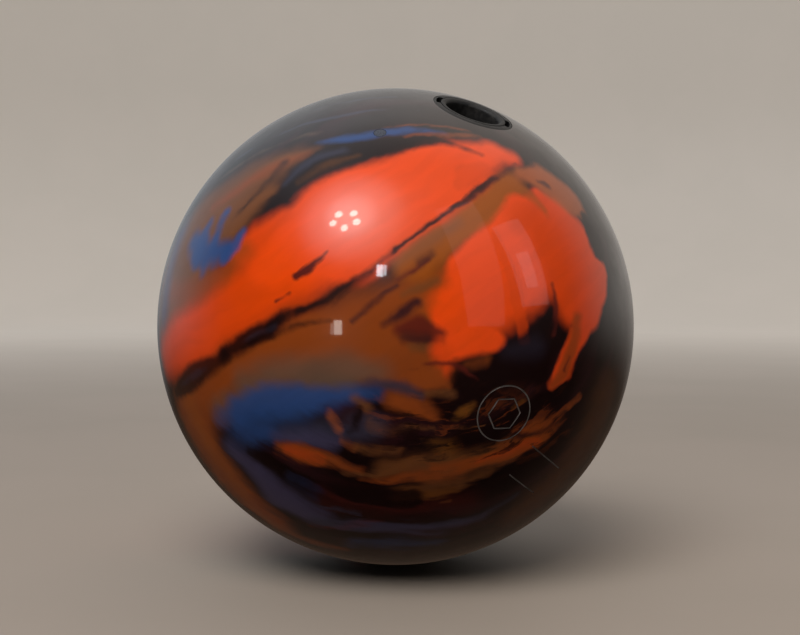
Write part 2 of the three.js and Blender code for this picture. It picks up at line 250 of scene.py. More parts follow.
# Each brush stroke is (colour, edge softness, opacity, [(azimuth, elevation, half width), ...]), with
# softness, angles and widths in degrees.
FRONT_STROKES = [
    # brown grounds
    (BROWN, 9, 1, [(-64, 8, 12), (-53, 22, 11), (-42, 33, 6), (-30, 40, 2)]),
    (RUST, 8, 1, [(-56, -18, 7), (-40, -8, 6), (-22, -2, 7), (0, 4, 7), (12, 9, 6)]),
    (OCHRE, 4, 1, [(5, 15.5, 4.5), (14, 22, 4), (22, 28, 4), (31, 33, 3.5)]),
    (RUST, 7, 1, [(-57, -22, 8), (-54, -36, 7), (-46, -48, 5)]),
    (OCHRE, 6, 0.55, [(-55, -17, 3.5), (-53, -27, 4), (-50, -38, 3)]),
    (RUST, 5, 0.9, [(-10, -4, 5), (2, -5, 5), (8, -7, 2.6)]),
    (HAZE, 6, 0.8, [(-34, -10, 2), (-22, -7.5, 3), (-10, -7.5, 4), (-4, -7, 2)]),
    # first orange field, above the long streak
    (DEEP_ORANGE, 7, 1, [(-66, -6, 5), (-52, -2, 7), (-36, 6, 8), (-22, 14, 8)]),
    (ORANGE, 4, 1, [(-27, 16, 7), (-12, 23, 13), (4, 32, 10), (18, 38, 7), (29, 42, 4), (36, 41, 2)]),
    (DEEP_ORANGE, 1.5, 0.8, [(16, 33, 1.5), (19.5, 35.5, 3), (25, 37.5, 1.6)]),
    # second orange field, right of the middle
    (ORANGE, 5, 1, [(14, 5, 6), (20, 9, 8), (27, 14, 9), (34, 18, 8)]),
    (ORANGE, 2.5, 1, [(16, 13, 4), (19, 15, 4.8), (24, 19.3, 5.2), (31, 25, 5)]),
    (DEEP_ORANGE, 4, 1, [(30, 24, 4), (36, 25, 5), (39, 18, 8), (43, 8, 7)]),
    (DEEP_ORANGE, 2.5, 1, [(38.5, 30, 2), (43, 27, 3.4), (47, 22, 3.4), (49, 16, 3)]),
    (CLAY, 3, 0.9, [(36, 36, 2), (44, 34, 4.5), (50, 30.5, 4.5), (52, 28, 2.4)]),
    (OCHRE, 2, 0.6, [(30, 33.5, 1.4), (35, 29.5, 1.4), (37.5, 26, 0.8)]),
    (DEEP_ORANGE, 2, 1, [(51.6, 12, 4.4), (51, 9.5, 4), (47.5, 3, 3)]),
    # A darker strip painted where the reflected window haze stops: painted shade.
    (DEEP_ORANGE, 1, 0.55, [(22, 21, 0.8), (23, 17, 1.2), (26, 8, 1.6), (27.5, -0.5, 1.4)]),
    (ORANGE, 2, 1, [(9.5, 3, 2.4), (10, -3, 2.4), (15, -0.6, 3.4), (20, -0.4, 2.8)]),
    (DEEP_ORANGE, 1.5, 1, [(44.5, 2, 3), (41.3, -2.5, 2.4), (38.6, -7, 2.7), (35.8, -10, 1.4)]),
    (RUST, 2, 0.75, [(42.5, 2.5, 1.4), (41.6, -2, 1.5), (39, -7.4, 1.8), (36, -10.4, 1)]),
    (DEEP_ORANGE, 4, 1, [(-36, 17, 3), (-32, 21.5, 3), (-27, 25.5, 2)]),
    (BROWN, 4, 1, [(-41, 23, 3), (-37, 28, 2.6), (-33, 32, 1.6)]),
    # blues
    (RUST, 6, 0.8, [(-61, 8, 3), (-48, 9.4, 3), (-40, 12.4, 2.4), (-35.5, 18, 1.6)]),
    (BLUE, 4, 0.95, [(-56, 19.5, 2.4), (-51, 17.5, 3), (-45.5, 16.6, 2.6), (-40.5, 18, 1.6)]),
    (BLUE, 2.5, 0.9, [(-49, 15, 1.6), (-48.8, 12.4, 0.7)]),
    (BLUE, 2.5, 0.85, [(-50, 24.6, 0.9), (-51.4, 21, 1.9), (-53, 17, 2.4)]),
    (BLUE, 2, 0.9, [(-44.4, 26.6, 1.3), (-45.8, 22.5, 1.6), (-46.5, 18, 1.8)]),
    (BLUE, 2, 0.9, [(-36.8, 22.6, 0.9), (-38.2, 18.8, 1.5), (-41.5, 15.8, 1.5)]),
    (BROWN, 1.5, 0.8, [(-41.6, 26, 0.7), (-42.6, 21.6, 0.9)]),
    (BLUE, 6, 0.5, [(-67, 22, 3), (-67, 4, 3)]),
    (HAZE, 4, 0.6, [(-42, -16, 3), (-32, -13, 3), (-20, -11.5, 3), (-10, -11, 2)]),
    (BLUE, 4, 0.9, [
        (-36.5, -17, 3.6), (-28, -15.5, 4.4), (-20, -14, 3.8),
        (-13, -13.4, 2), (-4, -11.6, 1.1),
    ]),
    (NAVY, 5, 0.8, [(-41, -24, 2), (-33, -21.5, 3), (-22, -20, 2.4)]),
    (SLATE, 4, 0.9, [(-24, -21.5, 2), (-14, -20, 2), (-4, -18.5, 2)]),
    # dark lobe along the top of the first field, and the thin arcs above it
    (BLACK, 2.5, 0.95, [
        (-31.5, 29.5, 0.5), (-28.5, 32, 1.6), (-25, 35.6, 3.1),
        (-20, 38.8, 4), (-14.5, 41.2, 3.8), (-9, 43.4, 3),
    ]),
    (BLACK, 2, 0.95, [
        (-9, 43.2, 3.1), (-2, 43.8, 2.6), (6, 44.2, 2.2),
        (14, 45, 1.4), (20, 43.8, 0.5), (26, 41, 0.2),
    ]),
    (SLATE, 2.5, 0.7, [(-29, 34, 0.5), (-24, 39, 1.2), (-17, 42.5, 1.2)]),
    (OLIVE, 2, 0.35, [(-25, 34, 0.5), (-18, 38, 0.9), (-12, 41, 0.5)]),
    (BLUE, 2, 0.85, [(-24, 45, 0.6), (-15, 47.2, 1.2), (-6, 48.4, 1.3), (4, 48.6, 1.2), (16, 47.6, 0.4)]),
    (BROWN, 3, 0.8, [(-46, 30, 1.5), (-38, 36, 2), (-30, 40.5, 1.3), (-24, 43.2, 0.5)]),
    (RUST, 3, 0.7, [(-52, 28, 1), (-43, 33, 1.4), (-33, 38, 1.2), (-26, 41.5, 0.5)]),
    (BLACK, 1.6, 0.75, [(-31, 39, 0.8), (-36, 32, 0.6), (-41, 25, 0.4), (-43, 20, 0.2)]),
    (RUST, 1, 0.5, [(-12, 50.2, 0.3), (4, 50.6, 0.4), (18, 50, 0.5), (26, 49, 0.3)]),
    (RUST, 1.2, 0.7, [(2, 46.6, 0.4), (16, 47, 0.9), (28, 48, 0.4)]),
    (HAZE, 1.5, 0.4, [(-62, 34, 0.4), (-50, 41, 0.8), (-36, 46, 0.9), (-24, 49, 0.5)]),
    (SLATE, 1.2, 0.8, [(-66, 36, 0.3), (-52, 46, 0.7), (-34, 53, 0.8), (-14, 57, 0.6), (8, 58, 0.3)]),
    (SLATE, 1, 0.7, [(-40, 60, 0.3), (-20, 64, 0.6), (0, 66, 0.4)]),
    # long streak
    (BLACK, 2.2, 0.9, [(-62, -15, 1.6), (-55, -12, 2.8), (-50, -9.5, 3), (-45, -7.4, 2.4), (-39, -5.2, 2)]),
    (BLACK, 2.2, 0.95, [(-39, -5.2, 2), (-34, -2.8, 2.3), (-29, -0.2, 2.1), (-24, 2.6, 1.3), (-19, 5, 0.5)]),
    (BLACK, 1.6, 0.95, [
        (-26, 1.6, 1.2), (-20, 4.9, 0.9), (-15, 7, 0.9),
        (-10, 9.4, 0.85), (-5, 13.4, 0.8), (0, 18.2, 0.7),
    ]),
    (WINE, 1, 0.95, [
        (0, 18.2, 0.7), (7, 23.2, 0.6), (14, 27.8, 0.7),
        (20, 31, 1), (29, 35.6, 0.9), (36, 39.4, 0.4),
    ]),
    (BLACK, 1, 0.8, [(0, 18.2, 0.4), (7, 23.2, 0.3), (15, 28.6, 0.5), (21, 31.8, 0.7), (28, 35, 0.4)]),
    # A thin lighter line painted along the middle of the long streak: a painted highlight.
    (SLATE, 1.2, 0.3, [
        (-56, -12, 0.6), (-49, -9.2, 0.9), (-40, -5.4, 0.4),
        (-31, -1.4, 0.5), (-25, 1.6, 0.6),
    ]),
    (BLACK, 1.4, 0.85, [(-33, -3.4, 0.6), (-26, -0.2, 1), (-20, 2, 0.5), (-14, 3.6, 0.2)]),
    # flecks and strands beside it
    (WINE, 1, 1, [(-21, 12, 0.9), (-18.5, 13.4, 0.9), (-16.6, 14.8, 0.5), (-14.8, 16.4, 0.25)]),
    (WINE, 0.8, 1, [(-25.2, 6.6, 0.55), (-22.5, 8.2, 0.65)]),
    (PLUM, 1.5, 0.85, [(-9, 3.6, 0.4), (-4, 7.2, 0.5), (1, 10, 0.4)]),
    (HAZE, 3, 0.35, [(1, 15.6, 1.5), (8, 20, 2), (14, 24, 1.5)]),
    (WINE, 1.6, 0.9, [(1.5, 11.6, 0.4), (4.5, 13.4, 0.7), (7.5, 15.4, 0.7)]),
    (PLUM, 2, 0.6, [(6, 15.4, 0.8), (8.4, 16.6, 0.9)]),
    (BROWN, 2, 0.8, [(3, 8, 0.7), (6, 9.5, 1.1), (9.5, 11, 0.8)]),
    (PLUM, 1.8, 0.95, [(-2, 2.4, 0.7), (2, 4.3, 1.4), (5.2, 5.8, 1)]),
    (WINE, 2, 0.9, [(1, 1, 1.2), (5, 1.6, 1.8), (8.6, 0, 0.8)]),
    (PLUM, 2, 0.8, [(2, -0.6, 1), (5.5, -1, 1.2), (8.6, -1.4, 0.5)]),
    (BROWN, 1.5, 0.7, [(3.5, -2.4, 0.8), (6.5, -2.4, 0.9)]),
    (PLUM, 1.5, 0.75, [(41, 33.6, 0.6), (44, 33, 0.9)]),
    (BLACK, 1, 0.6, [(35, 39.2, 0.3), (40, 38.6, 0.4), (44, 37.2, 0.3)]),
    (BLACK, 1.5, 0.95, [(53.4, 25.6, 1.8), (54, 21.5, 3), (55, 17.8, 2.6)]),
    (WINE, 1, 0.85, [(35.3, 10, 0.3), (36, 5, 0.8), (35, 1, 1)]),
    (WINE, 0.8, 0.7, [(41, 1.6, 0.4), (42, 1.2, 0.4)]),
    (WINE, 1, 0.8, [(40.5, -4.5, 0.3), (39, -7, 0.5)]),
    (BLACK, 2, 0.95, [(22, -4.5, 1.4), (26, -2.6, 2.8), (31, -1, 3.6), (33.5, 2, 2.4), (34, 5, 0.8)]),
    (BLACK, 2.5, 0.95, [(15, -9, 1.2), (24, -7, 3), (31, -6, 3.6), (32.5, -9, 2.4)]),
    (SLATE, 5, 0.3, [(24, -3, 1.5), (30, -2, 2.5)]),
    # feathered lower bands
    (RUST, 2.4, 0.6, [(13.6, -6, 0.4), (18.4, -4.8, 1.1)]),
    (DEEP_ORANGE, 2.5, 0.8, [(8.4, -3, 2), (9.4, -6.6, 1.4)]),
    (RUST, 3, 0.75, [(0, -12.6, 2.4), (5, -13.6, 2.6), (8, -16.2, 1.2)]),
    (WINE, 0.8, 0.85, [
        (1.5, -6.6, 0.25), (5, -5.6, 0.35), (10, -5.6, 0.4),
        (13, -6.6, 0.4), (17, -8.6, 0.3),
    ]),
    (RUST, 1.8, 0.95, [(4, -8.2, 1.5), (8, -8, 1.8), (11, -9.4, 0.6)]),
    (BLACK, 1.4, 0.85, [(12.4, -7.8, 0.3), (14, -9, 1), (19, -9.4, 1.4)]),
    (SLATE, 2.5, 0.85, [(-5, -9.6, 1), (1, -9.8, 1.1), (5, -11, 0.6)]),
    (BROWN, 1.6, 0.85, [(6, -10.4, 0.6), (12, -11, 1)]),
    (RUST, 2, 0.95, [(0.5, -13, 1), (3, -13.6, 1.8), (5.5, -16, 0.7), (8.5, -17, 0.4)]),
    (OLIVE, 1.6, 0.85, [(13, -16.4, 0.5), (14.6, -15.2, 1), (16.6, -14, 0.6)]),
    (BROWN, 0.8, 0.8, [(12, -18.6, 0.3), (19, -18.5, 0.35)]),
    (BROWN, 0.8, 0.6, [(2, -18.6, 0.3), (8, -19.4, 0.4), (5, -21.4, 0.3)]),
    (OLIVE, 1.6, 0.6, [(26, -15.4, 0.6), (28, -14, 0.8)]),
    (BLUE, 4, 0.6, [(-42, -18, 2), (-36, -21, 2.6), (-30, -21.4, 2)]),
    (MAUVE, 4, 0.8, [(-28, -22.4, 1.2), (-20, -21.8, 1.6), (-14, -22.6, 1.2)]),
    (CLAY, 2, 0.6, [(-14, -17.4, 0.9), (-12.6, -19, 1.1)]),
    (CLAY, 1.8, 0.35, [(-12, -21.8, 0.7), (-8.5, -23, 0.7)]),
    (BROWN, 2.4, 0.8, [(-8, -13.4, 0.8), (-6, -15.2, 1.1)]),
    (BLACK, 1.6, 0.9, [(-7.2, -15.8, 0.5), (-8.2, -18, 1), (-10, -19.6, 0.5)]),
    (BROWN, 2, 0.5, [(-5, -18, 0.7), (-1, -19.4, 0.6), (3, -19, 0.4)]),
    (BROWN, 2, 0.7, [(-8, -22.6, 0.8), (-3, -23.4, 1), (1, -24, 0.5)]),
    (OLIVE, 4, 0.6, [(8, -22.6, 1.2), (11, -24.2, 2.2), (13, -26.6, 1.2)]),
    (BROWN, 4, 0.8, [(-2, -27.6, 1.6), (8, -28.4, 3), (18, -28.2, 3.2), (27, -26, 2.6)]),
    (BROWN, 3, 0.65, [(0, -35.4, 1.2), (8, -34, 2.4), (16, -33, 1.8)]),
    (RUST, 3, 0.95, [(-28, -25, 1), (-23, -25.8, 2.2), (-16, -26.6, 1.8), (-8, -28.6, 0.9)]),
    (DEEP_ORANGE, 3, 0.4, [(-26, -25.6, 0.8), (-18, -26.6, 0.8)]),
    (BROWN, 2, 0.9, [(-12, -30, 0.5), (-4, -29.6, 0.9), (4, -27, 1), (5.5, -26.6, 0.4)]),
    (RUST, 2.2, 0.85, [(-8, -31.6, 0.5), (2, -31, 1.4), (12, -31, 1.5), (21, -28.4, 1.4), (28, -25.6, 1.5)]),
    (RUST, 1.8, 0.95, [
        (9, -29, 1), (19, -27.8, 1.9), (28, -25.4, 2.4),
        (33.5, -23.2, 1.7), (37, -21, 0.8), (41, -17.6, 0.2),
    ]),
    (DEEP_ORANGE, 2, 0.3, [(20, -27.6, 0.6), (28, -25.4, 1.2), (34, -23, 0.8)]),
    (RUST, 1.4, 0.95, [
        (27, -21.4, 0.4), (33, -19.8, 1), (38, -18, 1.1),
        (42, -15.6, 1.2), (44.5, -13.4, 0.9),
    ]),
    (BROWN, 1.4, 0.7, [(10, -34, 0.5), (17, -33.2, 0.9), (24, -31, 0.5)]),
    (BLACK, 1.5, 0.8, [(0, -33.4, 0.4), (5, -33.2, 0.7), (8, -32.6, 0.3)]),
    (OLIVE, 2, 0.7, [(0, -37, 0.5), (7, -36.4, 1), (16, -34.6, 0.8)]),
    (BROWN, 0.8, 0.6, [(13, -38.4, 0.3), (15.5, -37.8, 0.4)]),
    # dim bands near the floor
    (WINE, 8, 0.45, [(-18, -37, 3), (0, -40, 3), (20, -38, 2)]),
    (MAUVE, 5, 0.85, [(-43, -25, 2), (-38, -31, 3), (-34, -38, 4.4), (-24, -43, 3)]),
    (SLATE, 3, 0.8, [(-24, -44, 2), (-6, -47.4, 1.7), (12, -46.8, 1.5), (26, -43, 0.8), (36, -38.6, 0.3)]),
    (NAVY, 3, 0.8, [(-27, -33, 1.3), (-22, -35.6, 1.8)]),
    (BLACK, 2, 0.9, [
        (-37, -25.6, 0.5), (-29, -29.4, 0.8), (-20, -32.4, 1),
        (-10, -35.6, 2.4), (4, -38, 2.6),
    ]),
    (SLATE, 1, 0.7, [(-27, -38, 0.3), (-18, -40, 0.5), (-10, -42.4, 0.3)]),
    (WINE, 2, 0.6, [(-28, -47, 0.5), (-16, -46, 1), (-4, -45, 0.5)]),
    (MAUVE, 3, 0.45, [(-18, -45.6, 1.4), (0, -48, 2.4), (15, -47, 1.8), (27, -44, 0.8)]),
    (NAVY, 4, 0.95, [(-16, -54.6, 2), (0, -55, 2.8), (14, -54, 2.2)]),
    (RUST, 3, 0.6, [(-50, -50, 1.8), (-38, -55, 1.6), (-24, -59, 1.3)]),
    (BROWN, 8, 0.35, [(56, -15, 6), (54, -30, 6), (44, -45, 5)]),
]

# The swirl's grain runs round two axes: one above the long streak, one under it.
UPPER_GRAIN = Vector((-0.54, -0.12, 0.83)).normalized()
LOWER_GRAIN = Vector((0.09, -0.9, 0.42)).normalized()
GRAIN_STRETCH = 6.0
# How far noise moves the strokes, in ball radii.
LOOSE_WARP = 0.10
FINE_WARP = 0.012
LOWER_SHIFT = 0.13
UPPER_SHIFT = 0.045
# The stretch of fine light and dark veins, in the same form as a stroke's points.
FEATHERED_PART = [(-1, -17, 4), (12, -21, 8), (26, -21, 8), (38, -19, 5)]


def grained(graph, at, axis, scale):
    """The place on the unit ball with distances along the axis enlarged, so noise there runs in streaks."""
    height = graph.vector("DOT_PRODUCT", at, axis)
    across = graph.vector("SCALE", tuple(axis), scale=graph.math("MULTIPLY", height, scale * GRAIN_STRETCH))
    return graph.vector("ADD", graph.vector("SCALE", at, scale=scale), across)


def shifted(graph, at, axis, noise_at, reach):
    """The place moved along the axis by noise, up to half the reach either way."""
    wander = graph.math("SUBTRACT", graph.noise(noise_at, 1.0, detail=4.0, roughness=0.6), 0.5)
    distance = graph.math("MULTIPLY", wander, reach)
    return graph.vector("ADD", at, graph.vector("SCALE", tuple(axis), scale=distance))


def warped(graph, at, noise, reach):
    """The place moved by a noise colour, up to half the reach along each axis."""
    wander = graph.vector("SUBTRACT", noise, (0.5, 0.5, 0.5))
    return graph.vector("ADD", at, graph.vector("SCALE", wander, scale=reach))


def stroke_mask(graph, at, points, softness):
    """1 within the half width of the line through the points, falling to 0 over the softness."""
    one_degree = math.radians(1)
    inside = None
    for start, end in zip(points, points[1:]):
        along = toward(*end[:2]) - toward(*start[:2])
        offset = graph.vector("SUBTRACT", at, toward(*start[:2]))
        share = graph.share(graph.vector("DOT_PRODUCT", offset, along / along.length_squared))
        nearest = graph.vector("SCALE", tuple(along), scale=share)
        gap = graph.vector("DISTANCE", offset, nearest)
        widening = (end[2] - start[2]) * one_degree
        reach = graph.math("MULTIPLY_ADD", share, widening, start[2] * one_degree)
        depth = graph.math("SUBTRACT", reach, gap)
        inside = depth if inside is None else graph.math("MAXIMUM", inside, depth)
    half = softness * one_degree / 2
    return graph.step(inside, -half, half)


def back_swirl(graph, at):
    """Colours of the sides that face away from the camera: fields of orange, brown and blue in black."""
    streaks = grained(graph, at, UPPER_GRAIN, 1.5)
    ground = graph.step(graph.noise(streaks, 1.0, detail=5.0, roughness=0.55, distortion=0.5), 0.42, 0.6)
    colour = graph.mix(ground, BLACK, BROWN)
    field = graph.noise(at, 1.35, detail=3.0, roughness=0.45, distortion=1.1)
    colour = graph.mix(graph.step(field, 0.47, 0.53), colour, RUST)
    colour = graph.mix(graph.step(field, 0.51, 0.56), colour, DEEP_ORANGE)
    colour = graph.mix(graph.step(field, 0.56, 0.63), colour, ORANGE)
    elsewhere = graph.vector("ADD", at, (3.1, 5.2, 1.7))
    blue = graph.noise(elsewhere, 1.7, detail=4.0, roughness=0.5, distortion=0.8)
    colour = graph.mix(graph.step(blue, 0.6, 0.7, end=0.85), colour, BLUE)
    vein = graph.noise(grained(graph, at, UPPER_GRAIN, 0.7), 1.0, detail=2.5, roughness=0.4)
    distance = graph.math("ABSOLUTE", graph.math("SUBTRACT", vein, 0.5))
    return graph.mix(graph.step(distance, 0.002, 0.03, start=0.85, end=0.0), colour, BLACK)


def make_cover_material():
    graph = Graph("swirled_coverstock")
    unit = graph.vector("NORMALIZE", graph.place)
    loose = graph.noise(unit, 3.2, detail=3.0, roughness=0.5, output="Color")
    at = warped(graph, unit, loose, LOOSE_WARP)
    high = graph.vector("DOT_PRODUCT", unit, (0, 0, 1))
    lower = graph.step(high, -0.35, 0.05, start=LOWER_SHIFT, end=0.0)
    at = shifted(graph, at, LOWER_GRAIN, grained(graph, at, LOWER_GRAIN, 3.0), lower)
    upper = graph.step(high, -0.1, 0.2, start=0.0, end=UPPER_SHIFT)
    at = shifted(graph, at, UPPER_GRAIN, grained(graph, at, UPPER_GRAIN, 2.2), upper)
    fine = graph.noise(unit, 26.0, detail=3.0, roughness=0.6, output="Color")
    at = warped(graph, at, fine, FINE_WARP)

    behind = back_swirl(graph, at)
    murk = graph.step(graph.noise(grained(graph, at, LOWER_GRAIN, 2.0), 1.0, detail=5.0), 0.45, 0.75, end=0.8)
    colour = graph.mix(murk, BLACK, PLUM)
    for paint, softness, opacity, points in FRONT_STROKES:
        mask = stroke_mask(graph, at, points, softness)
        colour = graph.mix(graph.math("MULTIPLY", mask, opacity), colour, paint)
    feathered = stroke_mask(graph, at, FEATHERED_PART, 10)
    vein = graph.noise(grained(graph, at, LOWER_GRAIN, 5.0), 1.0, detail=5.0, roughness=0.6, distortion=0.5)
    light_vein = graph.step(vein, 0.54, 0.62, end=0.42)
    colour = graph.mix(graph.math("MULTIPLY", feathered, light_vein), colour, RUST)
    dark_vein = graph.step(vein, 0.39, 0.48, start=0.85, end=0.0)
    colour = graph.mix(graph.math("MULTIPLY", feathered, dark_vein), colour, BLACK)
    ragged = graph.math("SUBTRACT", graph.noise(grained(graph, at, UPPER_GRAIN, 1.0), 1.0, detail=3.0), 0.5)
    facing = graph.math("MULTIPLY_ADD", ragged, 0.9, graph.vector("DOT_PRODUCT", unit, (0, -1, 0)))
    colour = graph.mix(graph.step(facing, -0.1, 0.03), behind, colour)

    cloud = graph.noise(grained(graph, at, UPPER_GRAIN, 3.0), 1.0, detail=4.0)
    cloud = graph.step(cloud, 0.35, 0.7, end=0.16)
    colour = graph.mix(cloud, colour, graph.mix(0.5, colour, BLACK))
    haze = graph.noise(unit, 9.0, detail=2.0)
    roughness = graph.step(haze, 0.3, 0.7, start=0.28, end=0.36)
    ripple = graph.bump(graph.noise(unit, 14.0, detail=1.0), 0.05, 0.0004)
    return graph.finish(
        colour, roughness, coat_normal=ripple, Coat_Weight=1.0, Coat_Roughness=0.045, Specular_IOR_Level=0.3
    )


# ---- Finishes of the other pieces ----


def moulded(name, colour, shade, grain, roughness, relief, **numbers):
    """A cast or moulded finish: slow colour drift, fine grain in the gloss and in the surface."""
    graph = Graph(name)
    drift = graph.noise(graph.place, grain * 0.12, detail=4.0)
    tint = graph.mix(graph.step(drift, 0.35, 0.65), colour, shade)
    fine = graph.noise(graph.place, grain, detail=3.0)
    gloss = graph.step(fine, 0.3, 0.7, start=roughness - 0.05, end=roughness + 0.08)
    return graph.finish(tint, gloss, normal=graph.bump(fine, relief, 0.0002), **numbers)


def turned_finish(name, colour, shade, axis, pitch, roughness, **numbers):
    """A finish left by a lathe tool: fine rings across the axis, with scuffs."""
    graph = Graph(name)
    along = graph.vector("DOT_PRODUCT", graph.place, tuple(axis))
    rings = graph.math("SINE", graph.math("MULTIPLY", along, 2 * math.pi / pitch))
    scuffs = graph.noise(graph.place, 420.0, detail=5.0, roughness=0.65)
    tint = graph.mix(graph.step(scuffs, 0.4, 0.7), colour, shade)
    gloss = graph.step(scuffs, 0.3, 0.75, start=roughness - 0.06, end=roughness + 0.15)
    return graph.finish(tint, gloss, normal=graph.bump(rings, 0.12, 0.00003), **numbers)


PALE_RESIN = moulded(
    "pin_resin", rgb(0.62, 0.57, 0.46), rgb(0.5, 0.44, 0.33), 900, 0.3, 0.05, Coat_Weight=1.0
)
DARK_RESIN = moulded(
    "marker_resin", rgb(0.02, 0.03, 0.06), rgb(0.014, 0.02, 0.04), 900, 0.3, 0.05, Coat_Weight=1.0
)
INSERT_VINYL = turned_finish(
    "insert_vinyl", rgb(0.022, 0.021, 0.023), rgb(0.05, 0.047, 0.045), finger_axis, 0.0011, 0.5
)
SLEEVE_PLASTIC = turned_finish(
    "sleeve_plastic", rgb(0.008, 0.008, 0.009), rgb(0.02, 0.02, 0.022), thumb_axis, 0.0016, 0.4
)
SLUG_URETHANE = turned_finish(
    "slug_urethane", rgb(0.012, 0.012, 0.013), rgb(0.035, 0.034, 0.033), thumb_axis, 0.0008, 0.5
)
FILLER = moulded("core_filler", rgb(0.16, 0.17, 0.18), rgb(0.095, 0.10, 0.11), 700, 0.75, 0.35)
BLOCK_RESIN = moulded("weight_block_resin", rgb(0.03, 0.12, 0.36), rgb(0.02, 0.085, 0.27), 500, 0.5, 0.2)
FLIP_RESIN = moulded("flip_block_resin", rgb(0.55, 0.38, 0.04), rgb(0.42, 0.27, 0.03), 500, 0.5, 0.2)
ACETAL = moulded("detent_acetal", rgb(0.45, 0.47, 0.49), rgb(0.37, 0.39, 0.41), 1500, 0.42, 0.1)
NYLON = moulded("end_cap_nylon", rgb(0.035, 0.035, 0.04), rgb(0.055, 0.055, 0.06), 1800, 0.45, 0.2)
RUBBER = moulded("o_ring_rubber", rgb(0.009, 0.009, 0.01), rgb(0.02, 0.019, 0.018), 2600, 0.75, 0.4)
STEEL = moulded("screw_steel", rgb(0.6, 0.6, 0.6), rgb(0.42, 0.42, 0.44), 3000, 0.3, 0.1, Metallic=1.0)
MARK_PAINT = moulded("engraving_paint", rgb(0.15, 0.14, 0.14), rgb(0.085, 0.078, 0.075), 1600, 0.6, 0.4)

# ---- Meshes ----


def new_object(name, points, faces, frame_matrix):
    """A closed mesh from points in millimetres in a local frame, with its faces turned outwards."""
    mesh = bpy.data.meshes.new(name)
    mesh.from_pydata([frame_matrix @ (Vector(point) * MM) for point in points], [], faces)
    shape = bmesh.new()
    shape.from_mesh(mesh)
    bmesh.ops.recalc_face_normals(shape, faces=shape.faces)
    shape.to_mesh(mesh)
    shape.free()
    return placed(name, mesh)


def skin_height(x, y):
    """Height of the ball's surface over a point of a hole's frame."""
    return math.sqrt(BALL * BALL - x * x - y * y)


def revolve(name, profile, frame_matrix, centre=0.0, turns=96):
    """Turns a profile of (radius, height) round the frame's Z, moved along X by centre.

    A third value of True says that the height is a depth under the ball's surface. The profile starts and
    ends on the axis, or is a loop that closes on itself.
    """
    loop = profile[0][0] > 0
    points, rows = [], []
    for entry in profile:
        radius, height = entry[:2]
        count = turns if radius > 0 else 1
        rows.append(range(len(points), len(points) + count))
        for i in range(count):
            turn = 2 * math.pi * i / turns
            x, y = centre + radius * math.cos(turn), radius * math.sin(turn)
            under_skin = len(entry) == 3 and entry[2]
            points.append((x, y, skin_height(x, y) - height if under_skin else height))
    pairs = list(zip(rows, rows[1:])) + ([(rows[-1], rows[0])] if loop else [])
    faces = []
    for low, high in pairs:
        for i in range(turns):
            j = (i + 1) % turns
            corners = [low[i % len(low)], low[j % len(low)], high[j % len(high)], high[i % len(high)]]
            faces.append(list(dict.fromkeys(corners)))
    return new_object(name, points, faces, frame_matrix)


def rod(name, radius, low, high, frame_matrix, centre=0.0, turns=96):
    return revolve(name, [(0, low), (radius, low), (radius, high), (0, high)], frame_matrix, centre, turns)


def block(name, low, high, frame_matrix):
    points = [(x, y, z) for x in (low[0], high[0]) for y in (low[1], high[1]) for z in (low[2], high[2])]
    faces = [(0, 1, 3, 2), (4, 6, 7, 5), (0, 4, 5, 1), (2, 3, 7, 6), (0, 2, 6, 4), (1, 5, 7, 3)]
    return new_object(name, points, faces, frame_matrix)


def ball_shell(name, radius, subdivisions, inwards=False):
    shape = bmesh.new()
    bmesh.ops.create_icosphere(shape, subdivisions=subdivisions, radius=radius * MM)
    if inwards:
        bmesh.ops.reverse_faces(shape, faces=shape.faces)
    mesh = bpy.data.meshes.new(name)
    shape.to_mesh(mesh)
    shape.free()
    return placed(name, mesh)


def joined(first, *others):
    """One object holding all the given meshes; the others are removed."""
    shape = bmesh.new()
    for part in (first, *others):
        shape.from_mesh(part.data)
    shape.to_mesh(first.data)
    shape.free()
    for part in others:
        bpy.data.objects.remove(part)
    return first


def apply_modifiers(target):
    shown = target.evaluated_get(bpy.context.evaluated_depsgraph_get())
    finished = bpy.data.meshes.new_from_object(shown)
    target.modifiers.clear()
    target.data = finished


def combined(target, tool, operation):
    """The target cut by, joined to or kept within the tool, which is removed."""
    change = target.modifiers.new("boolean", "BOOLEAN")
    change.operation = operation
    change.solver = "EXACT"
    change.material_mode = "TRANSFER"
    change.object = tool
    apply_modifiers(target)
    bpy.data.objects.remove(tool)
    return target


def smooth(target, sharp_degrees=35):
    for face in target.data.polygons:
        face.use_smooth = True
    target.data.set_sharp_from_angle(angle=math.radians(sharp_degrees))
    return target


def round_edges(target, width):
    change = target.modifiers.new("edges", "BEVEL")
    change.width = width * MM
    change.segments = 3
    change.limit_method = "ANGLE"
    change.angle_limit = math.radians(35)
    change.harden_normals = False
    apply_modifiers(target)
    return target


def quarter_round(inner, radius, steps=8):
    """A mouth rounded off from the ball's surface down into a bore, as depths under the surface."""
    made = []
    for i in range(steps + 1):
        turn = math.pi / 2 * i / steps
        made.append((inner + radius * (1 - math.sin(turn)), radius * (1 - math.cos(turn)), True))
    return made


def outer_lip(radius, sink):
    """The outer edge of a liner just under the ball's surface, slightly rounded."""
    return [(radius, sink + 0.3, True), (radius - 0.1, sink + 0.08, True), (radius - 0.3, sink, True)]


def as_piece(target, body, material, slot, *nodes):
    if material:
        target.data.materials.clear()
        target.data.materials.append(material)
    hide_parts(*nodes)
    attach(target, body)
    return target


# ---- The cover: a drilled shell with an engraved mark ----

MARK_MIDDLE = toward(24, -16.5)
MARK_RING = 11.5
MARK_HEXAGON = 7
GROOVE_HALF_WIDTH = 0.3
GROOVE_FLOOR_HALF_WIDTH = 0.14
GROOVE_DEPTH = 0.28


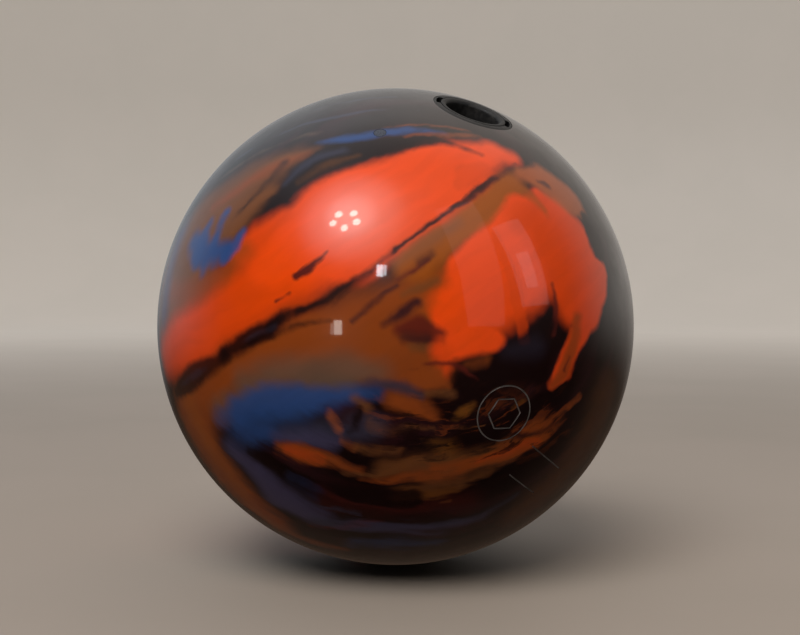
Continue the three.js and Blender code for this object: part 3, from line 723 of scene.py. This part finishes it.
def groove(path, closed):
    """A cutter for a narrow groove in the ball's surface along unit directions from its centre."""
    sections = ((-1, GROOVE_FLOOR_HALF_WIDTH, -GROOVE_DEPTH), (1, GROOVE_FLOOR_HALF_WIDTH, -GROOVE_DEPTH),
                (1, GROOVE_HALF_WIDTH * 1.5, 0.3), (-1, GROOVE_HALF_WIDTH * 1.5, 0.3))
    count = len(path)
    points = []
    for i, here in enumerate(path):
        before = path[(i - 1) % count] if closed or i else here
        after = path[(i + 1) % count] if closed or i < count - 1 else here
        side = here.cross(after - before).normalized()
        points += [here * (BALL + height) + side * (sign * half) for sign, half, height in sections]
    faces = []
    for i in range(count if closed else count - 1):
        j = (i + 1) % count
        faces += [[4 * i + k, 4 * i + (k + 1) % 4, 4 * j + (k + 1) % 4, 4 * j + k] for k in range(4)]
    if not closed:
        faces += [[0, 1, 2, 3], [4 * count - 4, 4 * count - 3, 4 * count - 2, 4 * count - 1]]
    return new_object("groove_cutter", points, faces, Matrix.Identity(4))


def around_mark(radius, degrees):
    right = upright(Vector((1, 0.45, 0)), MARK_MIDDLE)
    up = MARK_MIDDLE.cross(right)
    turn = math.radians(degrees)
    offset = (right * math.cos(turn) + up * math.sin(turn)) * (radius / BALL)
    return (MARK_MIDDLE + offset).normalized()


def straight(start, end, steps):
    return [start.lerp(end, i / steps).normalized() for i in range(steps + 1)]


def mark_cutters():
    ring = [around_mark(MARK_RING, 360 * i / 96) for i in range(96)]
    corners = [around_mark(MARK_HEXAGON, 60 * i) for i in range(6)]
    hexagon = []
    for i in range(6):
        hexagon += straight(corners[i], corners[(i + 1) % 6], 8)[:-1]
    return [
        groove(ring, True),
        groove(hexagon, True),
        groove(straight(toward(33.5, -24.5), toward(47, -31.5), 24), False),
        groove(straight(toward(29.5, -31.5), toward(42, -38), 24), False),
    ]


def bore_cutters():
    """Cutters for the thumb, finger and pin holes, as drilled."""
    fingers = [
        rod("finger_cutter", INSERT_RADIUS + SEAM, FINGER_FLOOR, PAST_SKIN, finger_frame, offset)
        for offset in (-FINGER_OFFSET, FINGER_OFFSET)
    ]
    thumb = rod("thumb_cutter", SLEEVE_RADIUS + SEAM, SLEEVE_BASE - GAP, PAST_SKIN, thumb_frame)
    pin = rod("pin_cutter", PIN_RADIUS + SEAM, PIN_BASE - GAP, PAST_SKIN, core_frame)
    return [thumb, *fingers, pin]


SKIN_TOLERANCE = 0.00002


def make_cover():
    cover = joined(ball_shell("cover", BALL, 7), ball_shell("inside", INNER_BALL, 5, inwards=True))
    cover.data.materials.append(make_cover_material())
    floor = BALL - MARKER_DEPTH - GAP
    marker = rod("marker_cutter", MARKER_RADIUS + SEAM, floor, PAST_SKIN, marker_frame, turns=48)
    drills = joined(*bore_cutters(), marker)
    drills.data.materials.append(cover.data.materials[0])
    combined(cover, drills, "DIFFERENCE")
    mark = joined(*mark_cutters())
    mark.data.materials.append(MARK_PAINT)
    combined(cover, mark, "DIFFERENCE")
    smooth(cover, 25)
    # The skin's normals point straight out, so that reflections in it are those of a true sphere.
    mesh = cover.data
    places = np.zeros(len(mesh.vertices) * 3)
    mesh.vertices.foreach_get("co", places)
    places = places.reshape(-1, 3)
    distance = np.linalg.norm(places, axis=1)
    on_skin = np.abs(distance - BALL * MM) < SKIN_TOLERANCE
    normals = np.zeros((len(mesh.loops), 3))
    for face in mesh.polygons:
        corners = list(face.vertices)
        if on_skin[corners].all():
            start = face.loop_start
            normals[start:start + len(corners)] = places[corners] / distance[corners][:, None]
    mesh.normals_split_custom_set([tuple(normal) for normal in normals])
    return cover


as_piece(make_cover(), "ball", None, "coverstock", "coverstock")

# ---- Core ----

FLANGE = (46, 27, 24)
BULB = [(0, -52), (26, -52), (33, -43), (34, -33), (27, -14), (27, 6), (33, 24), (33, 36), (22, 52), (0, 52)]
CORE_VOXEL = 1.6
CAVITY_SCALE = 1.015
FLIP_INNER = 25
FLIP_HALF_WIDTH = 13


def make_core_blank():
    bulb = revolve("bulb", BULB, core_frame, turns=64)
    flange = ball_shell("flange", 1 / MM, 4)
    flange.data.transform(core_frame @ Matrix.Diagonal((*(size * MM for size in FLANGE), 1)))
    blank = combined(bulb, flange, "UNION")
    remesh = blank.modifiers.new("remesh", "REMESH")
    remesh.mode = "VOXEL"
    remesh.voxel_size = CORE_VOXEL * MM
    relax = blank.modifiers.new("relax", "SMOOTH")
    relax.factor = 0.5
    relax.iterations = 6
    apply_modifiers(blank)
    return blank


def flip_pocket(clearance):
    half = FLIP_HALF_WIDTH + clearance
    return block("pocket", (FLIP_INNER - clearance, -half, -half), (80, half, half), core_frame)


blank = make_core_blank()
cavity = placed("cavity", blank.data.copy())
cavity.data.transform(Matrix.Scale(CAVITY_SCALE, 4))
filler = combined(ball_shell("outer_core_shell", INNER_BALL - GAP, 5), cavity, "DIFFERENCE")
combined(filler, joined(*bore_cutters()), "DIFFERENCE")
as_piece(smooth(filler), "ball", FILLER, "filler", "outer_core")

flip = combined(placed("flip_weight", blank.data.copy()), flip_pocket(0), "INTERSECT")
combined(flip, joined(*bore_cutters()), "DIFFERENCE")
as_piece(smooth(flip), "ball", FLIP_RESIN, "flip_block", "flip_block")

blank.name = "core_weight"
combined(blank, flip_pocket(GAP), "DIFFERENCE")
combined(blank, joined(*bore_cutters()), "DIFFERENCE")
as_piece(smooth(blank), "ball", BLOCK_RESIN, "weight_block", "weight_block")


def domed_rod(name, radius, low, frame_matrix):
    """A glued-in rod whose top was ground flush with the ball."""
    skin = [(radius * share, 0.03, True) for share in (0.975, 0.9, 0.75, 0.6, 0.45, 0.3, 0.15)]
    side = [(0, low), (radius - 0.4, low), (radius, low + 0.4), (radius, 0.18, True)]
    profile = [*side, *skin, (0, 0.03, True)]
    return smooth(revolve(name, profile, frame_matrix, turns=64))


as_piece(domed_rod("pin", PIN_RADIUS, PIN_BASE, core_frame), "ball", PALE_RESIN, "pin", "locator_pin")
marker = domed_rod("marker", MARKER_RADIUS, BALL - MARKER_DEPTH, marker_frame)
as_piece(marker, "ball", DARK_RESIN, "pin", "mass_bias_marker")

# ---- Finger inserts ----


def make_insert(name, centre):
    base = BALL - INSERT_LENGTH
    profile = [
        (INSERT_BORE, base + 0.8),
        (INSERT_BORE + 0.8, base),
        (INSERT_RADIUS - 0.8, base),
        (INSERT_RADIUS, base + 0.8),
        *outer_lip(INSERT_RADIUS, 0.04),
        *quarter_round(INSERT_BORE, 1.6),
    ]
    return smooth(revolve(name, profile, finger_frame, centre, turns=128), 40)


for node, side in (("finger_insert_middle", 1), ("finger_insert_ring", -1)):
    insert = make_insert(node.replace("finger_insert", "fingertip_liner"), side * FINGER_OFFSET)
    as_piece(insert, "ball", INSERT_VINYL, "finger_insert", node)

# ---- Thumb ----

SLEEVE_INSIDE = 24
CAP_BASE = 28.1
CAP_TOP = 32.1
LUG_REACH = 16.3
LUG_WIDTH = 8
RING_BORE = 8
RING_BASE = SLEEVE_INSIDE + GAP
RING_CORNER = 0.35
KEY_OFFSET = 11
KEY_HALF_WIDTH = 2
SHANK_HOLE = 2.3
HEAD_HOLE = 4.3
HEAD_SEAT = CAP_BASE + 2.2
THREAD_CREST = 1.98
THREAD_ROOT = 1.62
THREAD_PITCH = 0.7
WIRE_RADIUS = 1.5
WIRE_RING = 5.5


def make_sleeve():
    profile = [
        (0, SLEEVE_BASE),
        (SLEEVE_RADIUS - 1, SLEEVE_BASE),
        (SLEEVE_RADIUS, SLEEVE_BASE + 1),
        *outer_lip(SLEEVE_RADIUS, 0.04),
        *quarter_round(SLEEVE_BORE, 0.5, 4),
        (SLEEVE_BORE, SLEEVE_INSIDE),
        (0, SLEEVE_INSIDE),
    ]
    sleeve = revolve("thumb_sleeve", profile, thumb_frame, turns=128)
    reach, half = LUG_REACH + GAP, LUG_WIDTH / 2 + 2 * GAP
    groove_cutter = rod("sleeve_groove", reach, CAP_BASE - GAP, CAP_TOP + GAP, thumb_frame, turns=128)
    slots = combined(
        rod("slots", reach, CAP_BASE - GAP, PAST_SKIN, thumb_frame, turns=128),
        block("slot_width", (-30, -half, 0), (30, half, BALL + 20), thumb_frame),
        "INTERSECT",
    )
    combined(sleeve, groove_cutter, "DIFFERENCE")
    return smooth(combined(sleeve, slots, "DIFFERENCE"))


def make_slug():
    profile = [
        (0, SLUG_BASE),
        (SLUG_RADIUS - 0.6, SLUG_BASE),
        (SLUG_RADIUS, SLUG_BASE + 0.6),
        *outer_lip(SLUG_RADIUS, 0.1),
        *[(radius, depth + 0.1, True) for radius, depth, _ in quarter_round(THUMB_RADIUS, 2.2, 10)],
        (THUMB_RADIUS, THUMB_FLOOR + 3),
        (THUMB_RADIUS - 1, THUMB_FLOOR + 0.8),
        (THUMB_RADIUS - 3.5, THUMB_FLOOR),
        (0, THUMB_FLOOR),
    ]
    slug = revolve("thumb_insert", profile, thumb_frame, turns=128)
    tap = rod("tap", SHANK_HOLE, SLUG_BASE - 1, SLUG_BASE + 5.9, thumb_frame, turns=32)
    return smooth(combined(slug, tap, "DIFFERENCE"))


def make_detent():
    low, high, outer = RING_BASE, SLEEVE_INSIDE + 3.7, SLEEVE_BORE - GAP
    corner = RING_CORNER
    profile = [
        (RING_BORE, low + corner),
        (RING_BORE + corner, low),
        (outer - corner, low),
        (outer, low + corner),
        (outer, high - corner),
        (outer - corner, high),
        (RING_BORE + corner, high),
        (RING_BORE, high - corner),
    ]
    ring = revolve("detent_washer", profile, thumb_frame)
    half = KEY_HALF_WIDTH + GAP
    for x in (-KEY_OFFSET, KEY_OFFSET):
        key = block("keyway", (x - half, -half, low - 1), (x + half, half, high + 1), thumb_frame)
        combined(ring, key, "DIFFERENCE")
    return smooth(ring)


def make_cap():
    cap = rod("slug_cap", SLEEVE_BORE - GAP, CAP_BASE, CAP_TOP, thumb_frame)
    lugs = combined(
        rod("lugs", LUG_REACH, CAP_BASE, CAP_TOP, thumb_frame),
        block("lug_width", (-30, -LUG_WIDTH / 2, 20), (30, LUG_WIDTH / 2, 40), thumb_frame),
        "INTERSECT",
    )
    combined(cap, lugs, "UNION")
    half, low = KEY_HALF_WIDTH, SLEEVE_INSIDE + 2 * GAP
    for x in (-KEY_OFFSET, KEY_OFFSET):
        key = block("key", (x - half, -half, low), (x + half, half, CAP_TOP - 1), thumb_frame)
        combined(cap, key, "UNION")
    round_edges(cap, 0.3)
    for name, radius, top in (("shank_hole", SHANK_HOLE, CAP_TOP + 1), ("head_hole", HEAD_HOLE, HEAD_SEAT)):
        combined(cap, rod(name, radius, CAP_BASE - 1, top, thumb_frame, turns=48), "DIFFERENCE")
    return smooth(cap)


def make_screw():
    """A cap screw with a hexagon socket and a rolled thread."""
    base, head_top, end = CAP_BASE + GAP, CAP_BASE + 1.9, SLUG_BASE + 5.6
    profile = [(0, base), (3.7, base), (4, base + 0.3), (4, head_top - 0.2), (3.8, head_top)]
    profile.append((THREAD_CREST, head_top))
    height = head_top + 0.6
    while height < end - 0.8:
        profile += [(THREAD_CREST, height), (THREAD_ROOT, height + THREAD_PITCH / 2)]
        height += THREAD_PITCH
    profile += [(1.9, end - 0.5), (1.5, end), (0, end)]
    screw = revolve("cap_screw", profile, thumb_frame, turns=48)
    return smooth(combined(screw, rod("socket", 1.5, base - 1, base + 1, thumb_frame, turns=6), "DIFFERENCE"))


def make_o_ring():
    middle = RING_BASE + WIRE_RADIUS
    profile = []
    for i in range(24):
        turn = 2 * math.pi * i / 24
        profile.append((WIRE_RING + WIRE_RADIUS * math.cos(turn), middle + WIRE_RADIUS * math.sin(turn)))
    return smooth(revolve("tension_ring", profile, thumb_frame), 60)


homes = frame["record"]["behaviour"]["bodies"]
for made, material, slot, node in (
    (make_sleeve(), SLEEVE_PLASTIC, "sleeve", "thumb_outer_sleeve"),
    (make_detent(), ACETAL, "detent_ring", "detent_ring"),
    (make_o_ring(), RUBBER, "o_ring", "tension_o_ring"),
    (make_cap(), NYLON, "end_cap", "slug_end_cap"),
    (make_screw(), STEEL, "screw", "end_cap_screw"),
    (make_slug(), SLUG_URETHANE, "slug", "thumb_slug"),
):
    home = next(body for body, members in homes.items() if node in members)
    as_piece(made, home, material, slot, node)

# ---- Floor and backdrop, which aren't part of the ball ----

FLOOR_RADIUS = 3.0
BACKDROP_BEND = 0.8
BACKDROP_TOP = 3.2
BACKDROP_THICKNESS = 0.02


def make_floor_paint():
    """Pale matt paint that glows softly far from the ball, so floor and backdrop end in one even tone."""
    graph = Graph("floor_paint")
    drift = graph.noise(graph.place, 4.0, detail=4.0)
    tint = graph.mix(graph.step(drift, 0.35, 0.65), rgb(0.41, 0.355, 0.31), rgb(0.39, 0.34, 0.295))
    fine = graph.bump(graph.noise(graph.place, 300.0, detail=3.0), 0.05, 0.0002)
    glow = graph.step(graph.vector("LENGTH", graph.place), 0.3, FLOOR_RADIUS, end=0.28)
    paint = graph.finish(tint, 0.6, normal=fine, Emission_Color=rgb(1.0, 0.92, 0.82))
    shader = graph.tree.nodes["Principled BSDF"]
    graph.plug(shader.inputs["Emission Strength"], glow)
    return paint


def make_ground(name, line, paint):
    """A staged surface turned round the ball's upright axis from a line of (radius, height) in metres."""
    profile = [(radius / MM, height / MM) for radius, height in line]
    ground = smooth(revolve(name, profile, Matrix.Identity(4)), 60)
    ground.data.materials.append(paint)
    ground.visible_glossy = False
    return ground


def make_surroundings():
    """A round floor under the ball and, far off, a backdrop that only the camera sees."""
    paint = make_floor_paint()
    level = -BALL * MM
    make_ground("floor", [(0, level), (FLOOR_RADIUS, level)], paint)
    inner = []
    for i in range(17):
        turn = math.pi / 2 * i / 16
        rise = BACKDROP_BEND * (1 - math.cos(turn))
        inner.append((FLOOR_RADIUS + BACKDROP_BEND * math.sin(turn), level + rise))
    inner.append((FLOOR_RADIUS + BACKDROP_BEND, BACKDROP_TOP))
    outer = [(radius + BACKDROP_THICKNESS, height) for radius, height in reversed(inner)]
    backdrop = make_ground("backdrop", inner + outer, paint)
    backdrop.visible_diffuse = False
    backdrop.visible_shadow = False


make_surroundings()

# ---- Light ----


def add_light(name, direction, distance, size, power, colour, height=None, glossy=True, diffuse=True):
    """An area light that faces the ball from a direction, at a distance in metres; size is its width."""
    data = bpy.data.lights.new(name, "AREA")
    data.shape = "RECTANGLE" if height else "DISK"
    data.size = size
    if height:
        data.size_y = height
    data.energy = power
    data.color = colour
    light = placed(name, data)
    place = Vector(direction).normalized() * distance
    light.location = place
    light.rotation_mode = "QUATERNION"
    light.rotation_quaternion = (-place).to_track_quat("-Z", "Y")
    light.visible_camera = False
    light.visible_glossy = glossy
    light.visible_diffuse = diffuse


KEY_POWER = 30
AMBER = (1.0, 0.90, 0.80)
WARM = (1.0, 0.93, 0.84)
DAY = (0.85, 0.93, 1.0)
LAMP_COUNT = 5
LAMP_RING = math.tan(math.radians(5.1))
LAMP_FLATTENING = 0.72
LAMP_LEVEL = Vector((1, 0, -0.3))
LAMP_MIDDLE = Vector((-0.344, -0.572, 0.745)).normalized()


def add_lights():
    """A soft key light that isn't reflected, and small lights that are only seen reflected in the ball."""
    add_light("key", (-0.2, -0.75, 0.9), 2.2, 1.6, KEY_POWER, AMBER, glossy=False)
    right = upright(LAMP_LEVEL, LAMP_MIDDLE)
    up = LAMP_MIDDLE.cross(right)
    for i in range(LAMP_COUNT):
        turn = 2 * math.pi * (i + 0.75) / LAMP_COUNT
        offset = (right * math.cos(turn) + up * math.sin(turn) * LAMP_FLATTENING) * LAMP_RING
        add_light(f"lamp_{i}", LAMP_MIDDLE + offset, 2.5, 0.13, 0.6, WARM, diffuse=False)
    for name, direction, distance, width, height, power, colour in (
        ("window_left", (-0.117, -0.888, 0.440), 2.5, 0.12, 0.22, 1.3, DAY),
        ("window_right", (-0.078, -0.888, 0.443), 2.5, 0.05, 0.2, 0.35, DAY),
        ("low_window", (-0.425, -0.901, 0.022), 2.5, 0.15, 0.26, 0.8, WARM),
        ("low_pane", (-0.465, -0.88, 0.01), 2.5, 0.06, 0.2, 0.08, WARM),
        ("side_window", (0.827, -0.367, 0.42), 2.2, 0.6, 1.3, 1.3, DAY),
        ("side_pane", (0.847, -0.377, 0.375), 2.1, 0.24, 0.5, 0.25, DAY),
        ("middle_window", (0.573, -0.671, 0.47), 2.2, 0.75, 2.2, 1.5, DAY),
    ):
        add_light(name, direction, distance, width, power, colour, height=height, diffuse=False)


add_lights()


GLOW_DIRECTION = (-0.307, -0.540, 0.784)
# Round patches of soft light: (direction, degrees to the rim, degrees to the full level, level).
GLOW_MIDDLE = (GLOW_DIRECTION, 13, 0, 2.1)
GLOW_SPREAD = (GLOW_DIRECTION, 25, 0, 1.6)
HAZE_OVERHEAD = ((0.0, -0.25, 0.97), 53, 33, 0.18)
COOL_WALL = rgb(0.84, 0.92, 1.0)
WARM_WALL = rgb(1.0, 0.92, 0.84)
DIM_FLOOR = rgb(0.13, 0.085, 0.06)


def make_world():
    """What the ball reflects: a dim room in front, a pale wall behind and above, and a soft glow overhead."""
    world = bpy.data.worlds.new("world")
    world.use_nodes = True
    bpy.context.scene.world = world
    tree = world.node_tree
    tree.nodes.clear()
    nodes, links = tree.nodes, tree.links
    place = nodes.new("ShaderNodeTexCoord").outputs["Generated"]
    apart = nodes.new("ShaderNodeSeparateXYZ")
    links.new(place, apart.inputs[0])

    def ramp(value, low, high, start, end):
        made = nodes.new("ShaderNodeMapRange")
        made.interpolation_type = "SMOOTHSTEP"
        links.new(apart.outputs[value] if isinstance(value, str) else value, made.inputs["Value"])
        for key, given in (("From Min", low), ("From Max", high), ("To Min", start), ("To Max", end)):
            made.inputs[key].default_value = given
        return made.outputs[0]

    def combine(operation, first, second):
        made = nodes.new("ShaderNodeMath")
        made.operation = operation
        links.new(first, made.inputs[0])
        links.new(second, made.inputs[1])
        return made.outputs[0]

    def blend(factor, first, second):
        made = nodes.new("ShaderNodeMix")
        made.data_type = "RGBA"
        links.new(factor, made.inputs[0])
        for socket, given in ((made.inputs[6], first), (made.inputs[7], second)):
            if isinstance(given, tuple):
                socket.default_value = given
            else:
                links.new(given, socket)
        return made.outputs[2]

    def patch(direction, rim, full, strength):
        """A round patch of light: nothing at the rim angle, its full strength at the full angle."""
        towards = nodes.new("ShaderNodeVectorMath")
        towards.operation = "DOT_PRODUCT"
        links.new(place, towards.inputs[0])
        towards.inputs[1].default_value = direction
        edges = math.cos(math.radians(rim)), math.cos(math.radians(full))
        return ramp(towards.outputs["Value"], *edges, 0.0, strength)

    behind = ramp("Y", -0.1, 0.5, 0.012, 0.40)
    above = ramp("Z", 0.35, 0.9, 0.0, 0.16)
    core = combine("ADD", patch(*GLOW_MIDDLE), patch(*GLOW_SPREAD))
    haze = patch(*HAZE_OVERHEAD)
    room = combine("MULTIPLY", combine("ADD", behind, above), ramp("X", -0.7, 0.4, 0.88, 0.96))
    strength = combine("ADD", room, combine("ADD", core, haze))
    walls = blend(ramp("X", -0.7, 0.4, 0.0, 1.0), COOL_WALL, WARM_WALL)
    colour = blend(ramp("Z", -0.2, 0.12, 0.0, 1.0), DIM_FLOOR, walls)
    background = nodes.new("ShaderNodeBackground")
    links.new(colour, background.inputs["Color"])
    links.new(strength, background.inputs["Strength"])
    out = nodes.new("ShaderNodeOutputWorld")
    links.new(background.outputs[0], out.inputs["Surface"])


make_world()
